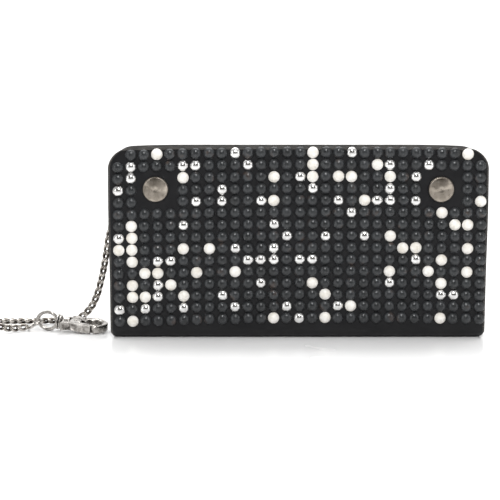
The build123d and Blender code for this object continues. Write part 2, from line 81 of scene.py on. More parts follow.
class Shader:
    """A material's node tree with short ways to add and join nodes."""

    def __init__(self, name):
        self.material = bpy.data.materials.new(name)
        self.material.use_nodes = True
        self.tree = self.material.node_tree
        self.bsdf = self.tree.nodes["Principled BSDF"]
        self.coords = self.tree.nodes.new("ShaderNodeTexCoord").outputs["Object"]

    def node(self, kind, links=None, **values):
        """A new node: values set its inputs or its own settings, links feed its inputs."""
        made = self.tree.nodes.new(kind)
        for key, value in values.items():
            if key in made.inputs:
                made.inputs[key].default_value = value
            else:
                setattr(made, key, value)
        for key, source in (links or {}).items():
            self.tree.links.new(source, made.inputs[key])
        return made

    def stretched(self, scale):
        """Object coordinates scaled by three factors."""
        return self.node("ShaderNodeMapping", {"Vector": self.coords}, Scale=scale).outputs[0]

    def noise(self, scale, detail=4.0, vector=None):
        """Cloudy values about a half."""
        return self.node("ShaderNodeTexNoise", {"Vector": vector or self.coords},
                         Scale=scale, Detail=detail, Roughness=0.55).outputs[0]

    def cells(self, scale):
        """Grain: distances to the edges of small cells."""
        return self.node("ShaderNodeTexVoronoi", {"Vector": self.coords},
                         feature="DISTANCE_TO_EDGE", Scale=scale).outputs["Distance"]

    def waves(self, scale, **values):
        """Bands or rings."""
        return self.node("ShaderNodeTexWave", {"Vector": self.coords},
                         Scale=scale, **values).outputs["Fac"]

    def ramp(self, source, stops):
        """Colours along a value: stops are (place, colour)."""
        made = self.node("ShaderNodeValToRGB", {"Fac": source})
        band = made.color_ramp
        while len(band.elements) < len(stops):
            band.elements.new(0.5)
        for element, (place, colour) in zip(band.elements, stops):
            element.position = place
            element.color = (*colour, 1.0)
        return made.outputs["Color"]

    def spread(self, source, low, high):
        """A noise value mapped to the range low..high."""
        made = self.node("ShaderNodeMapRange", {"Value": source})
        made.inputs["From Min"].default_value = 0.3
        made.inputs["From Max"].default_value = 0.7
        made.inputs["To Min"].default_value = low
        made.inputs["To Max"].default_value = high
        return made.outputs["Result"]

    def join(self, source, socket):
        """Feed one of the surface's inputs."""
        self.tree.links.new(source, self.bsdf.inputs[socket])

    def set(self, **values):
        """Set the surface's inputs to plain numbers."""
        for key, value in values.items():
            self.bsdf.inputs[key.replace("_", " ")].default_value = value

    def bumps(self, layers):
        """Bump layers, coarse first: (height, strength, depth in mm)."""
        normal = None
        for height, strength, depth in layers:
            links = {"Height": height}
            if normal:
                links["Normal"] = normal
            made = self.node("ShaderNodeBump", links, Strength=strength, Distance=depth * MM)
            normal = made.outputs["Normal"]
        self.join(normal, "Normal")


def black_leather():
    """Smooth black cowhide with a faint grain and a soft sheen."""
    s = Shader("black_leather")
    s.join(s.ramp(s.noise(90.0), [(0.25, (0.004, 0.004, 0.005)), (0.8, (0.009, 0.009, 0.01))]),
           "Base Color")
    s.set(Specular_IOR_Level=0.26)
    s.join(s.spread(s.noise(260.0), 0.36, 0.52), "Roughness")
    s.bumps([(s.noise(70.0), 0.35, 0.5), (s.cells(1500.0), 0.3, 0.06), (s.noise(2600.0), 0.25, 0.04)])
    return s.material


def raw_edge():
    """Cut edges of layered leather: dark paint over grey-brown fibres."""
    s = Shader("raw_edge")
    streaks = s.noise(1.0, 6.0, s.stretched((160.0, 2600.0, 2600.0)))
    s.join(s.ramp(streaks, [(0.36, (0.008, 0.008, 0.008)), (0.55, (0.036, 0.032, 0.028)),
                            (0.75, (0.15, 0.135, 0.12))]), "Base Color")
    s.join(s.spread(streaks, 0.35, 0.8), "Roughness")
    s.bumps([(streaks, 0.6, 0.25), (s.noise(1800.0), 0.4, 0.1)])
    return s.material


def inner_leather():
    """Thin matt black leather of the inside."""
    s = Shader("inner_leather")
    s.join(s.ramp(s.noise(120.0), [(0.25, (0.014, 0.013, 0.013)), (0.8, (0.035, 0.031, 0.029))]),
           "Base Color")
    s.join(s.spread(s.noise(300.0), 0.5, 0.7), "Roughness")
    s.bumps([(s.cells(1100.0), 0.4, 0.08), (s.noise(2200.0), 0.3, 0.05)])
    return s.material


def cloth(name, dark, light, pitch):
    """Woven cloth: two crossed sets of threads."""
    s = Shader(name)
    across = s.waves(pitch, bands_direction="X", Distortion=0.6)
    along = s.waves(pitch, bands_direction="Z", Distortion=0.6)
    weave = s.node("ShaderNodeMath", {0: across, 1: along}, operation="MULTIPLY").outputs[0]
    s.join(s.ramp(weave, [(0.1, dark), (0.8, light)]), "Base Color")
    s.join(s.spread(s.noise(500.0), 0.75, 0.95), "Roughness")
    s.bumps([(weave, 0.5, 0.12), (s.noise(3000.0), 0.3, 0.05)])
    return s.material


def worn_metal_painted_shade(name, dark, light, rough, scale):
    """Metal with darker patches of wear, smears and small dents, and painted shade that goes nearly
    black in its hollows where a piece stores them.
    """
    s = Shader(name)
    # Painted shade: the stored hollowness is taken off the wear noise, so hollows go dark.
    hollow = s.node("ShaderNodeAttribute", attribute_name="hollow").outputs["Fac"]
    patches = s.node("ShaderNodeMath", {0: s.noise(scale, 6.0), 1: hollow},
                     operation="SUBTRACT").outputs[0]
    # The darkest stop is the painted shade of the deep hollows.
    black = tuple(part * 0.16 for part in dark)
    s.join(s.ramp(patches, [(0.0, black), (0.35, dark), (0.6, light)]), "Base Color")
    s.set(Metallic=1.0)
    s.join(s.spread(s.noise(scale * 3.0, 5.0), rough[0], rough[1]), "Roughness")
    s.bumps([(s.noise(scale * 1.4), 0.25, 0.25), (s.noise(scale * 9.0), 0.12, 0.04)])
    return s.material


def brushed_cap():
    """Antique nickel turned on a lathe: fine rings about the cap's own axis."""
    s = Shader("antique_nickel")
    rings = s.waves(420.0, wave_type="RINGS", rings_direction="Y", Distortion=1.5, Detail=2.0)
    s.join(s.ramp(s.noise(240.0, 6.0), [(0.3, (0.2, 0.175, 0.145)), (0.65, (0.47, 0.42, 0.36))]),
           "Base Color")
    s.set(Metallic=1.0, Anisotropic=0.85)
    turn = s.node("ShaderNodeTangent", direction_type="RADIAL", axis="Y")
    s.join(turn.outputs[0], "Tangent")
    s.join(s.spread(s.noise(900.0), 0.26, 0.42), "Roughness")
    s.bumps([(rings, 0.2, 0.05), (s.noise(1400.0), 0.2, 0.05)])
    return s.material


def black_stud():
    """Black lacquer over brass, a little uneven, brownish where it is worn."""
    s = Shader("black_stud")
    s.join(s.ramp(s.noise(130.0, 3.0), [(0.3, (0.016, 0.017, 0.018)), (0.6, (0.034, 0.037, 0.04)),
                                        (0.82, (0.08, 0.05, 0.036))]), "Base Color")
    s.set(Metallic=0.2)
    s.join(s.spread(s.noise(170.0), 0.22, 0.38), "Roughness")
    s.bumps([(s.noise(800.0), 0.12, 0.08)])
    return s.material


def silver_stud():
    """Mirror nickel, slightly uneven."""
    s = Shader("silver_stud")
    s.join(s.ramp(s.noise(200.0), [(0.3, (0.62, 0.61, 0.6)), (0.7, (0.86, 0.86, 0.85))]),
           "Base Color")
    s.set(Metallic=1.0)
    s.join(s.spread(s.noise(600.0), 0.17, 0.26), "Roughness")
    s.bumps([(s.noise(300.0), 0.12, 0.1)])
    return s.material


def white_stud():
    """Pearl white lacquer, satin."""
    s = Shader("white_stud")
    s.join(s.ramp(s.noise(240.0), [(0.3, (0.74, 0.7, 0.62)), (0.6, (0.9, 0.88, 0.84))]),
           "Base Color")
    s.join(s.spread(s.noise(500.0), 0.3, 0.45), "Roughness")
    s.bumps([(s.noise(900.0), 0.15, 0.08)])
    return s.material


def thread():
    """Waxed black thread: the twist shows as slanted bands."""
    s = Shader("thread")
    twist = s.waves(900.0, bands_direction="DIAGONAL")
    s.join(s.ramp(twist, [(0.2, (0.02, 0.018, 0.016)), (0.8, (0.09, 0.08, 0.07))]), "Base Color")
    s.join(s.spread(s.noise(900.0), 0.5, 0.75), "Roughness")
    s.bumps([(twist, 0.5, 0.1)])
    return s.material


# ---------------------------------------------------------------- mesh helpers

def mesh_object(name, points, faces, materials, face_material=None):
    """A smooth-shaded mesh object from points in millimetres."""
    data = bpy.data.meshes.new(name)
    data.from_pydata([Vector(p) * MM for p in points], [], faces)
    for material in materials:
        data.materials.append(material)
    if face_material:
        data.polygons.foreach_set("material_index", face_material)
    data.polygons.foreach_set("use_smooth", [True] * len(faces))
    data.update()
    made = bpy.data.objects.new(name, data)
    bpy.context.collection.objects.link(made)
    return made


class Pile:
    """Points and faces gathered from many small solids."""

    def __init__(self):
        self.points = []
        self.faces = []

    def rings(self, rings, caps=(False, False)):
        """Skin a row of closed point rings, each with the same number of points."""
        start = len(self.points)
        count = len(rings[0])
        for ring in rings:
            self.points.extend(ring)
        for row in range(len(rings) - 1):
            for k in range(count):
                a = start + row * count + k
                b = start + row * count + (k + 1) % count
                self.faces.append((a, b, b + count, a + count))
        if caps[0]:
            self.faces.append(tuple(start + k for k in reversed(range(count))))
        if caps[1]:
            last = start + (len(rings) - 1) * count
            self.faces.append(tuple(last + k for k in range(count)))

    def lathe(self, place, profile, sides=24):
        """Turn (radius, height) pairs about the local Z axis of a placement, closed at the tip."""
        rings = []
        for radius, height in profile:
            ring = []
            for k in range(sides):
                turn = 2 * math.pi * k / sides
                ring.append(place @ Vector((radius * math.cos(turn), radius * math.sin(turn), height)))
            rings.append(ring)
        self.rings(rings, caps=(False, True))

    def loop(self, centre_line, radius, sides=8):
        """A closed wire along a closed row of points."""
        count = len(centre_line)
        rings = []
        for k in range(count):
            ahead = centre_line[(k + 1) % count] - centre_line[k - 1]
            ahead.normalize()
            side = ahead.orthogonal().normalized() if k == 0 else side - ahead * side.dot(ahead)
            side.normalize()
            up = ahead.cross(side)
            ring = []
            for j in range(sides):
                turn = 2 * math.pi * j / sides
                ring.append(centre_line[k] + (side * math.cos(turn) + up * math.sin(turn)) * radius)
            rings.append(ring)
        first = rings[0]
        shift = min(range(sides), key=lambda n: (first[n] - rings[-1][0]).length)
        rings.append(first[shift:] + first[:shift])
        self.rings(rings)

    def wire(self, line, radius, sides=6):
        """An open wire with closed ends."""
        rings = []
        side = None
        for k, point in enumerate(line):
            ahead = line[min(k + 1, len(line) - 1)] - line[max(k - 1, 0)]
            ahead.normalize()
            side = ahead.orthogonal() if side is None else side - ahead * side.dot(ahead)
            side.normalize()
            up = ahead.cross(side)
            rings.append([point + (side * math.cos(2 * math.pi * j / sides)
                                   + up * math.sin(2 * math.pi * j / sides)) * radius
                          for j in range(sides)])
        self.rings(rings, caps=(True, True))

    def made(self, name, material):
        """The pile as one mesh object."""
        return mesh_object(name, self.points, self.faces, [material])


def copied(node, material):
    """A copy of a CAD piece, its seams welded, to stand in the CAD piece's place."""
    source = bpy.data.objects[node]
    made = bpy.data.objects.new(node + "_soft", source.data.copy())
    made.matrix_world = source.matrix_world.copy()
    bpy.context.collection.objects.link(made)
    made.data.transform(made.matrix_world)
    made.matrix_world = Matrix.Identity(4)
    made.data.materials.clear()
    made.data.materials.append(material)
    weld = made.modifiers.new("weld", "WELD")
    weld.merge_threshold = 0.004 * MM
    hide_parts(node)
    return made


def softened(node, width, material, segments=2):
    """A CAD piece with its edges rounded."""
    made = copied(node, material)
    edge = made.modifiers.new("edge", "BEVEL")
    edge.width = width * MM
    edge.segments = segments
    edge.limit_method = "ANGLE"
    edge.angle_limit = math.radians(35)
    return made


def melted(node, voxel, rounds, material):
    """A CAD piece as one skin with its edges worn round."""
    made = copied(node, material)
    grid = made.modifiers.new("grid", "REMESH")
    grid.mode = "VOXEL"
    grid.voxel_size = voxel * MM
    grid.use_smooth_shade = True
    relax = made.modifiers.new("relax", "SMOOTH")
    relax.iterations = rounds
    relax.factor = 0.5
    return made


# ---------------------------------------------------------------- outer leather

CORNER_ROWS = 16
UPRIGHT_ROWS = 40
BEND_ROWS = 8
SKIN_COLUMNS = 72
EDGE_POINTS = 4
EDGE_ROWS = 5
EDGE_TIP = 0.06             # part of the thickness left at the very edge
BULGE = 0.3                 # the sides stand out by this at BULGE_Z
BULGE_Z = 66.0
BULGE_REACH = 22.0
DROOP = 1.3                 # the top corners hang by this
DROOP_FROM_X = 55.0
DROOP_FROM_Z = 84.0
RIPPLE = 0.16               # how uneven the faces of the leather are


def upright_heights():
    """Heights down a cover from its top edge to the fold, close together round the corner."""
    heights = []
    for k in range(CORNER_ROWS):
        turn = math.radians(90 * k / CORNER_ROWS)
        heights.append(HEIGHT - TOP_CORNER_R * (1 - math.cos(turn)))
    straight = HEIGHT - TOP_CORNER_R - FOLD_R
    for k in range(UPRIGHT_ROWS + 1):
        heights.append(FOLD_R + straight * (1 - k / UPRIGHT_ROWS))
    return heights


def fold_path(depth):
    """The U of a layer seen from its end: (y, z, outward y, outward z) rows."""
    bend = FOLD_R - depth
    front_middle = FRONT_Y + FOLD_R
    back_middle = BACK_Y - FOLD_R
    heights = upright_heights()
    path = [(FRONT_Y + depth, z, -1.0, 0.0) for z in heights]
    for k in range(1, BEND_ROWS + 1):
        turn = math.radians(90 * k / BEND_ROWS)
        path.append((front_middle - bend * math.cos(turn), FOLD_R - bend * math.sin(turn),
                     -math.cos(turn), -math.sin(turn)))
    for k in range(1, BEND_ROWS + 1):
        y = front_middle + (back_middle - front_middle) * k / BEND_ROWS
        path.append((y, depth, 0.0, -1.0))
    for k in range(1, BEND_ROWS + 1):
        turn = math.radians(90 * k / BEND_ROWS)
        path.append((back_middle + bend * math.sin(turn), FOLD_R - bend * math.cos(turn),
                     math.sin(turn), -math.cos(turn)))
    path.extend((BACK_Y - depth, z, 1.0, 0.0) for z in reversed(heights[:-1]))
    return path


def half_width(z, inset):
    """Half the wallet's width at a height, inside its rounded corners."""
    half = LENGTH / 2
    if z > HEIGHT - TOP_CORNER_R:
        rise = min(z - (HEIGHT - TOP_CORNER_R), TOP_CORNER_R)
        half -= TOP_CORNER_R - math.sqrt(TOP_CORNER_R ** 2 - rise ** 2)
    if z < BOTTOM_CORNER_R:
        drop = BOTTOM_CORNER_R - max(z, 0.0)
        half -= BOTTOM_CORNER_R - math.sqrt(BOTTOM_CORNER_R ** 2 - drop ** 2)
    bulge = BULGE * math.exp(-((z - BULGE_Z) / BULGE_REACH) ** 2)
    return half + bulge - inset


def corner_droop(x, z):
    """How far the soft top corners hang below a straight edge."""
    out = max(0.0, (abs(x) - DROOP_FROM_X) / (LENGTH / 2 - DROOP_FROM_X))
    up = max(0.0, (z - DROOP_FROM_Z) / (HEIGHT - DROOP_FROM_Z))
    return DROOP * out ** 2.5 * min(1.0, up)


def layer_rows(depth, thickness, top):
    """A layer's rows from edge to edge: (y, z, outward y, outward z, part of its thickness)."""
    path = fold_path(depth + thickness / 2)
    low = [k for k, row in enumerate(path) if row[1] < top - thickness / 2 - 0.05]
    first = path[low[0] - 1]
    last = path[low[-1] + 1]
    edge = []
    for k in range(EDGE_ROWS):
        turn = math.radians(90 * k / EDGE_ROWS)
        edge.append((thickness / 2 * (1 - math.sin(turn)), max(math.sin(turn), EDGE_TIP)))
    rows = [(first[0], top - drop, first[2], first[3], part) for drop, part in edge]
    rows.extend((*row, 1.0) for row in path[low[0]:low[-1] + 1])
    rows.extend((last[0], top - drop, last[2], last[3], part) for drop, part in reversed(edge))
    return rows


def rounded_side(half, h, direction):
    """Points round a layer's cut side: (x, lift) pairs from one face to the other."""
    side = []
    for k in range(1, EDGE_POINTS + 1):
        turn = math.pi * k / (EDGE_POINTS + 1)
        side.append((direction * (half - h + h * math.sin(turn)), direction * h * math.cos(turn)))
    return side


def layer_ring(row, thickness, top, inset):
    """The points round a layer's section at one row."""
    y, z, out_y, out_z, part = row
    half = half_width(z, inset)
    h = thickness / 2 * part
    flat = half - h
    section = []
    for k in range(SKIN_COLUMNS + 1):
        x = -flat + 2 * flat * k / SKIN_COLUMNS
        ripple = RIPPLE * math.sin(x * 0.11 + z * 0.05) * math.sin(z * 0.09 + 1.0)
        ripple *= min(1.0, (half - abs(x)) / 12.0) * min(1.0, max(0.0, (top - z) / 8.0))
        section.append((x, h + ripple if z >= FOLD_R else h))
    section.extend(rounded_side(half, h, 1.0))
    section.extend((flat - 2 * flat * k / SKIN_COLUMNS, -h) for k in range(SKIN_COLUMNS + 1))
    section.extend(rounded_side(half, h, -1.0))
    ring = []
    for x, lift in section:
        height = z + out_z * lift
        ring.append((x, y + out_y * lift, height - corner_droop(x, height)))
    return ring


def folded_layer(name, depth, thickness, top, inset, materials):
    """A layer of leather folded once: cover, fold and cover in one skin, its cut edges apart."""
    rows = layer_rows(depth, thickness, top)
    pile = Pile()
    pile.rings([layer_ring(row, thickness, top, inset) for row in rows], caps=(True, True))
    front = range(SKIN_COLUMNS)
    back = range(SKIN_COLUMNS + EDGE_POINTS + 1, 2 * SKIN_COLUMNS + EDGE_POINTS + 1)
    ring_size = 2 * (SKIN_COLUMNS + 1) + 2 * EDGE_POINTS
    kinds = []
    for row, below in zip(rows, rows[1:]):
        edge_row = row[4] < 0.999 or below[4] < 0.999
        kinds.extend(1 if edge_row or not (k in front or k in back) else 0 for k in range(ring_size))
    kinds.extend((1, 1))
    outward = [tuple(reversed(face)) for face in pile.faces]
    return mesh_object(name, pile.points, outward, materials, kinds)


def fold_with_cover(layer):
    """Bake a folded layer's placement into its mesh."""
    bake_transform(layer)


def outer_cover():
    """The wallet's outer leather in one piece."""
    cover = folded_layer("outer_cover", 0.0, LEATHER, HEIGHT, 0.0, [BLACK_LEATHER, RAW_EDGE])
    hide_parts("front_cover", "fold_leather", "back_cover")
    fold_with_cover(cover)


def inner_fold():
    """The lining round the fold."""
    layer = folded_layer("inner_fold", LEATHER, LINING, LINING_BOTTOM, LINING_INSET,
                         [INNER_LEATHER, INNER_LEATHER])
    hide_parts("fold_lining")
    fold_with_cover(layer)


def stitches(name, line, normal, body, wire, length=2.2, gap=0.9):
    """A row of thread stitches along straight runs of points, on one body."""
    pile = Pile()
    lift = Vector(normal) * wire * 0.5
    dip = Vector(normal) * wire * 0.9
    for start, end in zip(line, line[1:]):
        start = Vector(start)
        run = Vector(end) - start
        count = max(1, int(run.length / (length + gap)))
        step = run / count
        ahead = step.normalized()
        stitch = step.length - gap
        for k in range(count):
            a = start + step * k + ahead * gap / 2
            pile.wire([a - dip, a + ahead * 0.25 + lift, a + ahead * stitch / 2 + lift * 1.3,
                       a + ahead * (stitch - 0.25) + lift, a + ahead * stitch - dip], wire)
    made = pile.made(name, THREAD)
    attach(made, body)


# ---------------------------------------------------------------- studs and snaps

COLUMNS = 29
COLUMN_PITCH = 6.69
ROW_PITCH = 6.15
GRID_MIDDLE_X = 1.2
TOP_ROW_Z = 96.6
# One letter for each stud, in rows from the top: b black, s silver, w white.
STUD_CHART = (
    "_bbwbbbbbsbbbbbwbbsbbbbbbbbw_",
    "bsbbbssbbbsbbbbwbbbbwsbbsbbbb",
    "bs___wbbbbbbwbswbwwbbwbs___bb",
    "sb___bbbsbbbbbbsbbbbbsbb___bb",
    "bb___bsbsbbswbbbbsbwssbs___bw",
    "bbbbbbbbbbbbbbbbbbsbbbbbbwbbb",
    "bwbbbsbbbbbbsbbbbbbbbbbbbbwwb",
    "swbbbbbbbbbbbsbbsbbsbwbbbbbbb",
    "wwbbbwbwbsbbsbbbbbbbbbwwbbbwb",
    "bwbssbbbbbsssbssbbbbbbbsbwbbb",
    "bbwwbbwbbwbbbbbbbbbbbwbbwbbwb",
    "bwbswbbbbbbsbbbwbbbbbsbbbwbbb",
    "bwwsbwbbsbbbbbbbwbbbbbbbbssbb",
    "sbsbbsbbbsbbbsbbbswbbbbbbbbbb",
    "bwbbbbbbbbbbwbsbwbbbbbbbbwbbb",
)
# How the grid of studs differs from a level, regular one.
GRID_RISE = 0.6
GRID_SAG = 1.5              # at GRID_SAG_REACH from GRID_SAG_MIDDLE
GRID_SAG_MIDDLE = 20.0
GRID_SAG_REACH = 118.0
GRID_SAG_LEFT = 0.8         # more sag at the lower left corner
GRID_SHIFT = 0.4
GRID_DRAW_IN = 0.011        # the right half's columns lean in from DRAW_IN_FROM_Z up
DRAW_IN_FROM_Z = 55.0
DRAW_IN_RUN = 35.0
DOME_STEPS = 9
STUD_SCATTER = (0.14, 0.13)
STUD_LEAN = 2.5             # degrees
SNAP_X = (-73.6, 73.6)
SNAP_Z = 78.2
CAP_PROFILE = (
    (2.0, -3.7), (2.0, -0.3), (6.7, -0.1), (6.7, 0.55), (6.62, 0.75), (6.2, 1.2), (6.0, 1.32),
    (5.85, 1.3), (5.7, 1.33), (4.0, 1.42), (2.0, 1.47), (0.8, 1.5), (0.62, 1.42), (0.45, 1.4),
    (0.1, 1.42),
)
TO_FRONT = Matrix.Rotation(math.radians(90), 4, "X")


def dome_profile():
    """A stud's rim and crown: (radius, height) pairs."""
    radius = STUD_D / 2
    crown = STUD_H - STUD_RIM
    ball = (radius ** 2 + crown ** 2) / (2 * crown)
    widest = math.asin(radius / ball)
    profile = [(radius, -0.2), (radius, STUD_RIM * 0.7)]
    for k in range(DOME_STEPS):
        turn = widest * (1 - k / DOME_STEPS)
        profile.append((ball * math.sin(turn), STUD_H - ball * (1 - math.cos(turn))))
    profile.append((0.12, STUD_H))
    return profile


def stud_place(column, row):
    """A stud's place: the grid draws in towards the top and sags to the ends, as the cover does."""
    x = GRID_MIDDLE_X + (column - (COLUMNS - 1) / 2) * COLUMN_PITCH
    z = TOP_ROW_Z - row * ROW_PITCH
    left = max(0.0, -x / (LENGTH / 2))
    down = row / (len(STUD_CHART) - 1)
    sag = GRID_SAG * ((x - GRID_SAG_MIDDLE) / GRID_SAG_REACH) ** 2
    z += GRID_RISE - sag - GRID_SAG_LEFT * left * down ** 2
    z -= corner_droop(x, z) * 0.6
    up = min(1.0, max(0.0, (z - DRAW_IN_FROM_Z) / DRAW_IN_RUN))
    x -= GRID_SHIFT + GRID_DRAW_IN * max(0.0, x) * up
    x += random.uniform(-STUD_SCATTER[0], STUD_SCATTER[0])
    z += random.uniform(-STUD_SCATTER[1], STUD_SCATTER[1])
    return x, z


def stud_lean(axis):
    """A small turn about one axis, different for each stud."""
    return Matrix.Rotation(math.radians(random.uniform(-STUD_LEAN, STUD_LEAN)), 4, axis)


def studs():
    """The studs by finish, each set by hand a little out of line."""
    piles = {"b": Pile(), "s": Pile(), "w": Pile()}
    profile = dome_profile()
    for row, letters in enumerate(STUD_CHART):
        for column, letter in enumerate(letters):
            if letter not in piles:
                continue
            x, z = stud_place(column, row)
            place = Matrix.Translation((x, FRONT_Y, z)) @ TO_FRONT @ stud_lean("X") @ stud_lean("Y")
            piles[letter].lathe(place, profile)
    kinds = (("b", "black_studs", BLACK_STUD, "black_stud"),
             ("s", "silver_studs", SILVER_STUD, "silver_stud"),
             ("w", "white_studs", WHITE_STUD, "white_stud"))
    for letter, node, material, slot_name in kinds:
        made = piles[letter].made(node + "_domes", material)
        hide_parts(node)
        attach(made, "front_half")


def snap_cap(name, x):
    """A snap cap: a flat disc with a bevelled rim, a small centre mark and its shank."""
    pile = Pile()
    pile.lathe(TO_FRONT, CAP_PROFILE, sides=64)
    made = pile.made(name, ANTIQUE_NICKEL)
    made.location = (x * MM, FRONT_Y * MM, SNAP_Z * MM)
    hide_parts("snap_caps")
    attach(made, "front_half")


# ---------------------------------------------------------------- chain

COIL_X = -187.5
COIL_Y = -4.0
COIL_TURNS = 2
COIL_STEPS = 46
FLOOR_Z = 2.15
LINK_END = 0.6              # the first and last links' middles from the ends of the line
LINK_TWIST = 45             # degrees
LINK_POINTS = 22
CHAIN_A = (
    (-98.2, 13.6, 60.0),
    (-101.4, 14.6, 50.0),
    (-103.2, 15.8, 38.0),
    (-106.2, 17.0, 24.5),
    (-110.4, 19.2, 12.0),
    (-118.6, 22.0, 3.0),
    (-130.5, 23.6, 2.15),
    (-144.0, 22.2, 2.15),
    (-157.5, 21.6, 2.15),
    (-171.5, 22.5, 2.15),
    (-184.5, 23.2, 2.15),
)
CHAIN_B = (
    (-185.0, -20.7, 2.3),
    (-176.4, -17.6, 4.2),
    (-168.2, -11.8, 6.6),
    (-159.6, -5.0, 5.0),
    (-153.1, -0.8, 2.4),
    (-146.7, 4.0, 2.3),
)


def chain_curve():
    """The chain's middle line: down to the floor, two and a half turns, to the clasp."""
    start_x = CHAIN_A[-1][0] - COIL_X
    start_y = CHAIN_A[-1][1] - COIL_Y
    end_x = CHAIN_B[0][0] - COIL_X
    end_y = CHAIN_B[0][1] - COIL_Y
    turn_0 = math.atan2(start_y, start_x)
    turn_1 = math.atan2(end_y, end_x) + 2 * math.pi * (COIL_TURNS + 1)
    radius_0 = math.hypot(start_x, start_y)
    radius_1 = math.hypot(end_x, end_y)
    points = list(CHAIN_A)
    for k in range(1, COIL_STEPS):
        part = k / COIL_STEPS
        turn = turn_0 + (turn_1 - turn_0) * part
        radius = radius_0 + (radius_1 - radius_0) * part
        points.append((COIL_X + radius * math.cos(turn), COIL_Y + radius * math.sin(turn), FLOOR_Z))
    points.extend(CHAIN_B)
    data = bpy.data.curves.new("chain_path", "CURVE")
    data.dimensions = "3D"
    spline = data.splines.new("NURBS")
    spline.points.add(len(points) - 1)
    for point, place in zip(spline.points, points):
        point.co = (*(Vector(place) * MM), 1.0)
    spline.order_u = 3
    spline.use_endpoint_u = True
    spline.resolution_u = 8
    return bpy.data.objects.new("chain_path", data)


def even_points(line):
    """Places and directions along a line at about one link pitch, and the line's length."""
    lengths = [0.0]
    for a, b in zip(line, line[1:]):
        lengths.append(lengths[-1] + (b - a).length)
    total = lengths[-1]
    run = total - 2 * LINK_END
    count = round(run / LINK_PITCH)
    places = []
    k = 0
    for n in range(count + 1):
        at = LINK_END + run * n / count
        while k < len(lengths) - 2 and lengths[k + 1] < at:
            k += 1
        part = (at - lengths[k]) / max(lengths[k + 1] - lengths[k], 1e-9)
        places.append((line[k].lerp(line[k + 1], part), (line[k + 1] - line[k]).normalized()))
    return places, total


def curb_link(place, ahead, normal):
    """The wire of one twisted link about its middle."""
    long_half = LINK_PITCH / 2 + LINK_WIRE_R
    wide_half = CHAIN_D / 2 - LINK_WIRE_R
    side = ahead.cross(normal)
    line = []
    for k in range(LINK_POINTS):
        turn = 2 * math.pi * k / LINK_POINTS
        along = math.copysign(abs(math.cos(turn)) ** 0.85, math.cos(turn))
        twist = math.radians(LINK_TWIST) * along
        out = wide_half * math.sin(turn)
        line.append(place + ahead * long_half * along
                    + (normal * math.cos(twist) + side * math.sin(twist)) * out)
    return line


def link_painted_shade(point, place):
    """How far a point of a link lies on the inside of its wire, where shade is painted darker."""
    reach = CHAIN_D / 2
    part = (reach - (point - place).length) / (2 * LINK_WIRE_R)
    return 0.75 * min(1.0, max(0.0, part))


def chain():
    """The chain's interlocked links, the points of its middle line and its length."""
    curve = chain_curve()
    bpy.context.collection.objects.link(curve)
    flat = bpy.data.meshes.new_from_object(curve)
    line = [v.co / MM for v in flat.vertices]
    bpy.data.objects.remove(curve)
    places, total = even_points(line)
    pile = Pile()
    hollow = []
    normal = Vector((1.0, 0.0, 0.0))
    for index, (place, ahead) in enumerate(places):
        normal = (normal - ahead * normal.dot(ahead)).normalized()
        turn = 24 * math.sin(index * 0.23) + random.uniform(-7, 7)
        roll = Matrix.Rotation(math.radians(turn), 4, ahead)
        pile.loop(curb_link(place, ahead, roll @ normal), LINK_WIRE_R)
        hollow.extend(link_painted_shade(point, place) for point in pile.points[len(hollow):])
    made = pile.made("chain_links", AGED_SILVER)
    # The links' insides get painted shade through this attribute.
    made.data.attributes.new("hollow", "FLOAT", "POINT").data.foreach_set("value", hollow)
    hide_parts("chain_run_a", "chain_coil", "chain_run_b")
    return made, line, total


# ---------------------------------------------------------------- clasp, ring and inside

# The clasp's own frame: U from the eye to the hook, V across, W through its thickness.
CLASP_PLACE = (Matrix.Translation((-133.4, 5.6, 5.75))
               @ Matrix.Rotation(math.radians(-8.0), 4, "Z")
               @ Matrix.Rotation(math.radians(5.5), 4, "Y")
               @ Matrix.Rotation(math.radians(7.0), 4, "X"))
HOOK_U = 24.9
HOOK_V = 0.6
HOOK_MIDDLE_R = 6.0
HOOK_HALF = 1.7
EYE_MIDDLE_R = 4.75
EYE_HALF = 0.85
EYE_STRETCH = 0.22          # the eye is longer than round on its free side
HOLLOW_ROUNDS = 14
CLASP_VOXEL = 0.15


def hump(value, middle, half):
    """A smooth hump of height one about a middle, nothing beyond its half width."""
    part = abs(value - middle) / half
    return 0.0 if part >= 1.0 else (1.0 - part * part) ** 2


def crown(distance, half, flatness):
    """How much thinner a rounded section is away from its middle."""
    part = min(1.0, abs(distance) / half)
    return math.sqrt(1.0 - flatness * part * part)


def body_shape(u, v, w):
    """Round the hook's section and give the far arm its cast bumps."""
    out = math.hypot(u - HOOK_U, v - HOOK_V)
    if u > 19.0:
        w *= crown(out - HOOK_MIDDLE_R, HOOK_HALF, 0.6)
    if v > 2.6:
        bumps = 0.26 * math.sin(u * 0.95 + 0.4) + 0.08 * math.sin(u * 2.1)
        v += bumps * min(1.0, (v - 2.6) / 2.0)
        w += 0.2 * math.sin(u * 1.15 + v * 0.6) * max(-1.0, min(1.0, w))
    return u, v, w


def lever_shape(u, v, w):
    """Hollow the thumb tab, flare its free end and round the gate."""
    if v < -2.6:
        hollow = hump(u, 13.0, 5.0) * hump(w, 0.0, 3.2)
        v += 1.0 * hollow * min(1.0, (-2.6 - v) / 2.4)
        flare = max(0.0, (10.4 - u) / 2.0)
        v -= 0.75 * flare * flare
        w *= 1.0 + 0.12 * flare
        if u > 17.0:
            w *= crown(v + 4.9, 3.4, 0.35)
    return u, v, w


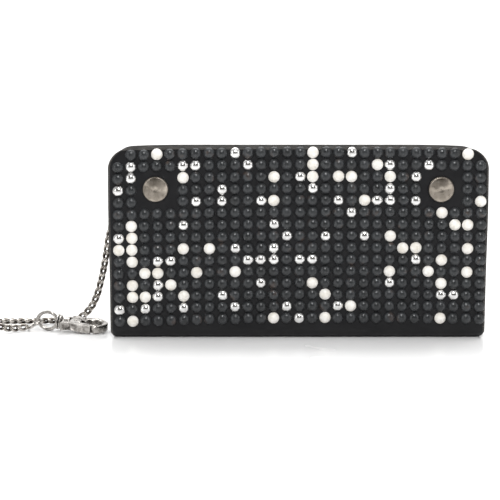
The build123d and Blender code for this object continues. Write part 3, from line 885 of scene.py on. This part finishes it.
def eye_shape(u, v, w):
    """An arch that is thin above and heavy below."""
    if u < 4.6:
        out = math.hypot(u, w)
        v *= crown(out - EYE_MIDDLE_R, EYE_HALF, 0.65)
        v *= 0.8 if w > 0.5 else 1.0
        if w < 0.0:
            v *= 1.0 + 0.12 * min(1.0, -w)
        if u < 0.0:
            u *= 1.0 + EYE_STRETCH * hump(w, 0.0, 9.0)
    return u, v, w


def ring_shape(u, v, w):
    """Move the jump ring out to the eye's longer side."""
    return u - EYE_STRETCH * EYE_MIDDLE_R, v, w


def shaped(made, shape):
    """Turn a piece's modifiers into mesh, then work its form in the clasp's frame."""
    bpy.context.view_layer.update()
    graph = bpy.context.evaluated_depsgraph_get()
    data = bpy.data.meshes.new_from_object(made.evaluated_get(graph))
    made.modifiers.clear()
    made.data = data
    if shape:
        back = CLASP_PLACE.inverted()
        for vertex in data.vertices:
            u, v, w = shape(*(back @ (vertex.co / MM)))
            vertex.co = (CLASP_PLACE @ Vector((u, v, w))) * MM
    mark_hollows_for_shade(data)
    data.polygons.foreach_set("use_smooth", [True] * len(data.polygons))
    data.update()


def mark_hollows_for_shade(data):
    """Store how hollow the surface is at each point, for the painted shade in its hollows."""
    count = len(data.vertices)
    places = np.zeros(count * 3)
    data.vertices.foreach_get("co", places)
    places = places.reshape(-1, 3) / MM
    normals = np.zeros(count * 3)
    data.vertices.foreach_get("normal", normals)
    normals = normals.reshape(-1, 3)
    ends = np.zeros(len(data.edges) * 2, dtype=int)
    data.edges.foreach_get("vertices", ends)
    one, two = ends.reshape(-1, 2).T
    near = np.bincount(one, minlength=count) + np.bincount(two, minlength=count)
    near = np.maximum(near, 1)
    way = places[two] - places[one]
    rise = np.bincount(one, (way * normals[one]).sum(1), count)
    rise += np.bincount(two, -(way * normals[two]).sum(1), count)
    hollow = rise / near / (np.linalg.norm(way, axis=1).mean() ** 2)
    for _ in range(HOLLOW_ROUNDS):
        total = np.bincount(one, hollow[two], count) + np.bincount(two, hollow[one], count)
        hollow = 0.4 * hollow + 0.6 * total / near
    # Hollows turn into painted shade; the small negative values on ridges make them a little lighter.
    hollow = np.clip(hollow * 1.1 - 0.02, -0.12, 0.5)
    data.attributes.new("hollow", "FLOAT", "POINT").data.foreach_set("value", hollow)


# The cast pieces: CAD node, body, shape, voxel in millimetres, rounds of smoothing.
CLASP = (
    ("clasp_body", "clasp_hook", body_shape, CLASP_VOXEL, 8),
    ("clasp_lever", "clasp_lever", lever_shape, CLASP_VOXEL, 8),
    ("clasp_pin", "clasp_hook", None, CLASP_VOXEL, 8),
    ("clasp_eye", "back_half", eye_shape, CLASP_VOXEL, 8),
    ("eye_ring", "back_half", ring_shape, CLASP_VOXEL, 8),
)
WALLET_RINGS = (
    ("d_ring", "ring", None, 0.14, 5),
    ("wallet_link", "ring", None, 0.1, 4),
)


def cast_piece(node, body, shape, voxel, rounds):
    """A cast metal piece: the CAD's form with soft edges and polished flanks."""
    made = melted(node, voxel, rounds, CAST_SILVER)
    shaped(made, shape)
    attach(made, body)
    return made


def clasp_and_rings():
    """The clasp with its ring, and the two rings at the wallet; the clasp's pieces are given back."""
    pieces = [cast_piece(*entry) for entry in CLASP]
    for entry in WALLET_RINGS:
        cast_piece(*entry)
    spring = bpy.data.objects["clasp_spring"].data
    spring.materials.clear()
    spring.materials.append(SPRING_STEEL)
    return pieces


def soft_edged(node, body, material, slot_name, width, segments=2):
    """A piece kept as the CAD has it, but for its rounded edges."""
    made = softened(node, width, material, segments)
    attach(made, body)


def leather_pieces():
    """The inner panels, the ring's tab and the pocket's bag."""
    inside = (("front_lining", "front_half"), ("card_panel_1", "front_half"),
              ("card_panel_2", "front_half"), ("card_panel_3", "front_half"),
              ("card_panel_4", "front_half"), ("coin_pocket_face", "back_half"),
              ("bill_divider", "back_half"), ("back_lining", "back_half"))
    for node, body in inside:
        soft_edged(node, body, INNER_LEATHER, "inner_leather", 0.28)
    soft_edged("ring_tab", "back_half", BLACK_LEATHER, "black_leather", 0.4, 3)
    soft_edged("coin_pocket_bag", "back_half", POCKET_CLOTH, "pocket_cloth", 0.3)


def metal_pieces():
    """Sockets, posts, rivet and zip."""
    small = (("snap_sockets", "front_half", ANTIQUE_NICKEL, "antique_nickel", 0.12),
             ("snap_studs", "back_half", ANTIQUE_NICKEL, "antique_nickel", 0.15),
             ("snap_posts", "back_half", ANTIQUE_NICKEL, "antique_nickel", 0.1),
             ("tab_rivet", "back_half", ANTIQUE_NICKEL, "antique_nickel", 0.3),
             ("zip_teeth", "back_half", ZIP_METAL, "zip_metal", 0.14),
             ("zip_stops", "back_half", ZIP_METAL, "zip_metal", 0.14),
             ("zip_slider", "zip_slider", ZIP_METAL, "zip_metal", 0.2),
             ("zip_pull_rivet", "zip_slider", ZIP_METAL, "zip_metal", 0.15),
             ("zip_pull", "zip_pull", ZIP_METAL, "zip_metal", 0.2),
             ("zip_tapes", "back_half", ZIP_TAPE, "zip_tape", 0.08))
    for entry in small:
        soft_edged(*entry)


def seam(half, bottom, top, corner):
    """An open seam line up one side, over the top and down the other: (x, z) pairs."""
    line = [(-half, bottom), (-half, top - corner)]
    for k in range(1, 6):
        turn = math.radians(90 * k / 5)
        line.append((-half + corner * (1 - math.cos(turn)), top - corner * (1 - math.sin(turn))))
    line.extend((-x, z) for x, z in reversed(line[:]))
    return line


COVER_SEAM_INSET = 3.4
INNER_SEAM_INSET = 4.6
CARD_SEAM_DROP = 2.2
CARD_SEAM_HALF = 92.0
ZIP_Z = 86.5
ZIP_SEAM_HALF = 61.5
ZIP_SEAM_OFF = 5.3


def panel_seam(inset, bottom, y):
    """The seam points of an upright panel, at one distance inside the wallet's outline."""
    line = seam(LENGTH / 2 - inset, bottom, HEIGHT - inset, TOP_CORNER_R - inset)
    return [(x, y, z) for x, z in line]


def sewing():
    """Stitched seams: round the back cover, over the card panels and the inner panels."""
    back = panel_seam(COVER_SEAM_INSET, 9.0, BACK_Y + 0.12)
    stitches("seam_back", back, (0, 1, 0), "back_half", 0.32, 2.6, 1.0)
    lining_y = FRONT_Y + LEATHER + LINING
    for step in range(CARD_COUNT):
        y = lining_y + CARD_PANEL * (step + 1)
        z = CARD_TOP - CARD_STEP * step - CARD_SEAM_DROP
        row = [(-CARD_SEAM_HALF, y, z), (CARD_SEAM_HALF, y, z)]
        stitches("seam_card_%d" % (step + 1), row, (0, 1, 0), "front_half", 0.22)
    lining = panel_seam(INNER_SEAM_INSET, 64.0, lining_y)
    stitches("seam_lining", lining, (0, 1, 0), "front_half", 0.2)
    face = panel_seam(INNER_SEAM_INSET, 12.0, FACE_Y)
    stitches("seam_face", face, (0, -1, 0), "back_half", 0.16)
    for z in (ZIP_Z + ZIP_SEAM_OFF, ZIP_Z - ZIP_SEAM_OFF):
        row = [(-ZIP_SEAM_HALF, FACE_Y, z), (ZIP_SEAM_HALF, FACE_Y, z)]
        stitches("seam_zip_%d" % z, row, (0, -1, 0), "back_half", 0.16)


# ---------------------------------------------------------------- studio

FLOOR_FRONT = -2500.0
FLOOR_BACK = 500.0
SWEEP_R = 900.0
SWEEP_STEPS = 12
WALL_TOP = 3500.0
FLOOR_HALF = 3500.0
CAMERA_AIM = (-0.0249, -0.0015, 0.045)
CAMERA_RISE = 8.0           # degrees above level
CAMERA_AWAY = 0.65
CAMERA_ANGLE = 22.97


def studio_floor():
    """A pale sweep: floor, curve and wall in one sheet."""
    profile = [(FLOOR_FRONT, 0.0), (FLOOR_BACK, 0.0)]
    for k in range(1, SWEEP_STEPS + 1):
        turn = math.radians(90 * k / SWEEP_STEPS)
        profile.append((FLOOR_BACK + SWEEP_R * math.sin(turn), SWEEP_R * (1 - math.cos(turn))))
    profile.append((FLOOR_BACK + SWEEP_R, WALL_TOP))
    points = []
    faces = []
    for y, z in profile:
        points.extend(((-FLOOR_HALF, y, z), (FLOOR_HALF, y, z)))
    for k in range(len(profile) - 1):
        faces.append((2 * k, 2 * k + 1, 2 * k + 3, 2 * k + 2))
    s = Shader("studio_white")
    s.join(s.ramp(s.noise(3.0), [(0.3, (0.86, 0.86, 0.86)), (0.7, (0.9, 0.9, 0.9))]), "Base Color")
    s.join(s.spread(s.noise(8.0), 0.22, 0.28), "Roughness")
    return mesh_object("studio_floor", points, faces, [s.material])


def soft_light(name, place, aim, size, power):
    """A rectangular lamp turned to its aim."""
    data = bpy.data.lights.new(name, "AREA")
    data.shape = "RECTANGLE"
    data.size = size[0]
    data.size_y = size[1]
    data.energy = power
    made = bpy.data.objects.new(name, data)
    bpy.context.collection.objects.link(made)
    made.location = place
    made.rotation_euler = (Vector(aim) - Vector(place)).to_track_quat("-Z", "Y").to_euler()
    return made


def camera():
    """The viewpoint: square on, a little above."""
    data = bpy.data.cameras.new("camera")
    data.angle = math.radians(CAMERA_ANGLE)
    data.clip_start = 0.01
    data.clip_end = 50.0
    made = bpy.data.objects.new("camera", data)
    bpy.context.collection.objects.link(made)
    aim = Vector(CAMERA_AIM)
    rise = math.radians(CAMERA_RISE)
    made.location = aim + Vector((0.0, -math.cos(rise), math.sin(rise))) * CAMERA_AWAY
    made.rotation_euler = (aim - made.location).to_track_quat("-Z", "Y").to_euler()
    bpy.context.scene.camera = made


def surround():
    """A bright surround that is darker behind the viewpoint, so that mirrors show a dark spot."""
    world = bpy.data.worlds.new("studio_world")
    world.use_nodes = True
    bpy.context.scene.world = world
    tree = world.node_tree
    sky = tree.nodes["Background"]
    sky.inputs["Strength"].default_value = 0.62
    way = tree.nodes.new("ShaderNodeTexCoord").outputs["Generated"]
    facing = tree.nodes.new("ShaderNodeVectorMath")
    facing.operation = "DOT_PRODUCT"
    facing.inputs[1].default_value = (0.0, -0.99, 0.12)
    tree.links.new(way, facing.inputs[0])
    ramp = tree.nodes.new("ShaderNodeValToRGB")
    ramp.color_ramp.elements[0].position = 0.5
    ramp.color_ramp.elements[0].color = (1.0, 1.0, 1.0, 1.0)
    ramp.color_ramp.elements[1].position = 0.86
    ramp.color_ramp.elements[1].color = (0.15, 0.14, 0.13, 1.0)
    tree.links.new(facing.outputs["Value"], ramp.inputs["Fac"])
    tree.links.new(ramp.outputs["Color"], sky.inputs["Color"])


def studio():
    """The floor, the lamps and the surround."""
    floor = studio_floor()
    lights = [
        soft_light("key", (0.05, -0.75, 0.8), (0, 0, 0.05), (0.16, 0.42), 6.0),
        soft_light("left", (-1.1, -0.8, 0.4), (0, 0, 0.05), (0.3, 0.8), 2.2),
        soft_light("right", (1.1, -0.7, 0.5), (0, 0, 0.05), (0.3, 0.8), 1.8),
        soft_light("top", (0.0, 0.25, 1.1), (0, 0.05, 0.0), (1.2, 0.7), 7.0),
        soft_light("back", (0.0, 0.6, 1.6), (0, 1.4, 0.6), (2.4, 0.8), 22.0),
    ]
    surround()
    bpy.context.scene.view_settings.view_transform = "Standard"


# ---------------------------------------------------------------- build

BLACK_LEATHER = black_leather()
RAW_EDGE = raw_edge()
INNER_LEATHER = inner_leather()
POCKET_CLOTH = cloth("pocket_cloth", (0.012, 0.012, 0.014), (0.05, 0.05, 0.055), 1400.0)
ZIP_TAPE = cloth("zip_tape", (0.01, 0.01, 0.011), (0.04, 0.04, 0.043), 900.0)
ZIP_METAL = worn_metal_painted_shade("zip_metal", (0.22, 0.2, 0.17), (0.55, 0.51, 0.45), (0.2, 0.4), 400.0)
ANTIQUE_NICKEL = brushed_cap()
BLACK_STUD = black_stud()
SILVER_STUD = silver_stud()
WHITE_STUD = white_stud()
# The chain's and the clasp's silvers paint shade into the hollows their pieces store.
AGED_SILVER = worn_metal_painted_shade("aged_silver", (0.16, 0.14, 0.12), (0.6, 0.57, 0.53), (0.14, 0.3), 260.0)
CAST_SILVER = worn_metal_painted_shade("cast_silver", (0.11, 0.098, 0.088), (0.44, 0.42, 0.395), (0.2, 0.34), 260.0)
SPRING_STEEL = worn_metal_painted_shade("spring_steel", (0.35, 0.34, 0.33), (0.65, 0.64, 0.63), (0.2, 0.35), 220.0)
THREAD = thread()

camera()
links, chain_line, chain_length = chain()
clasp_pieces = clasp_and_rings()
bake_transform(links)
studs()
snap_cap("snap_cap_left", SNAP_X[0])
snap_cap("snap_cap_right", SNAP_X[1])
leather_pieces()
metal_pieces()
sewing()
outer_cover()
inner_fold()
studio()
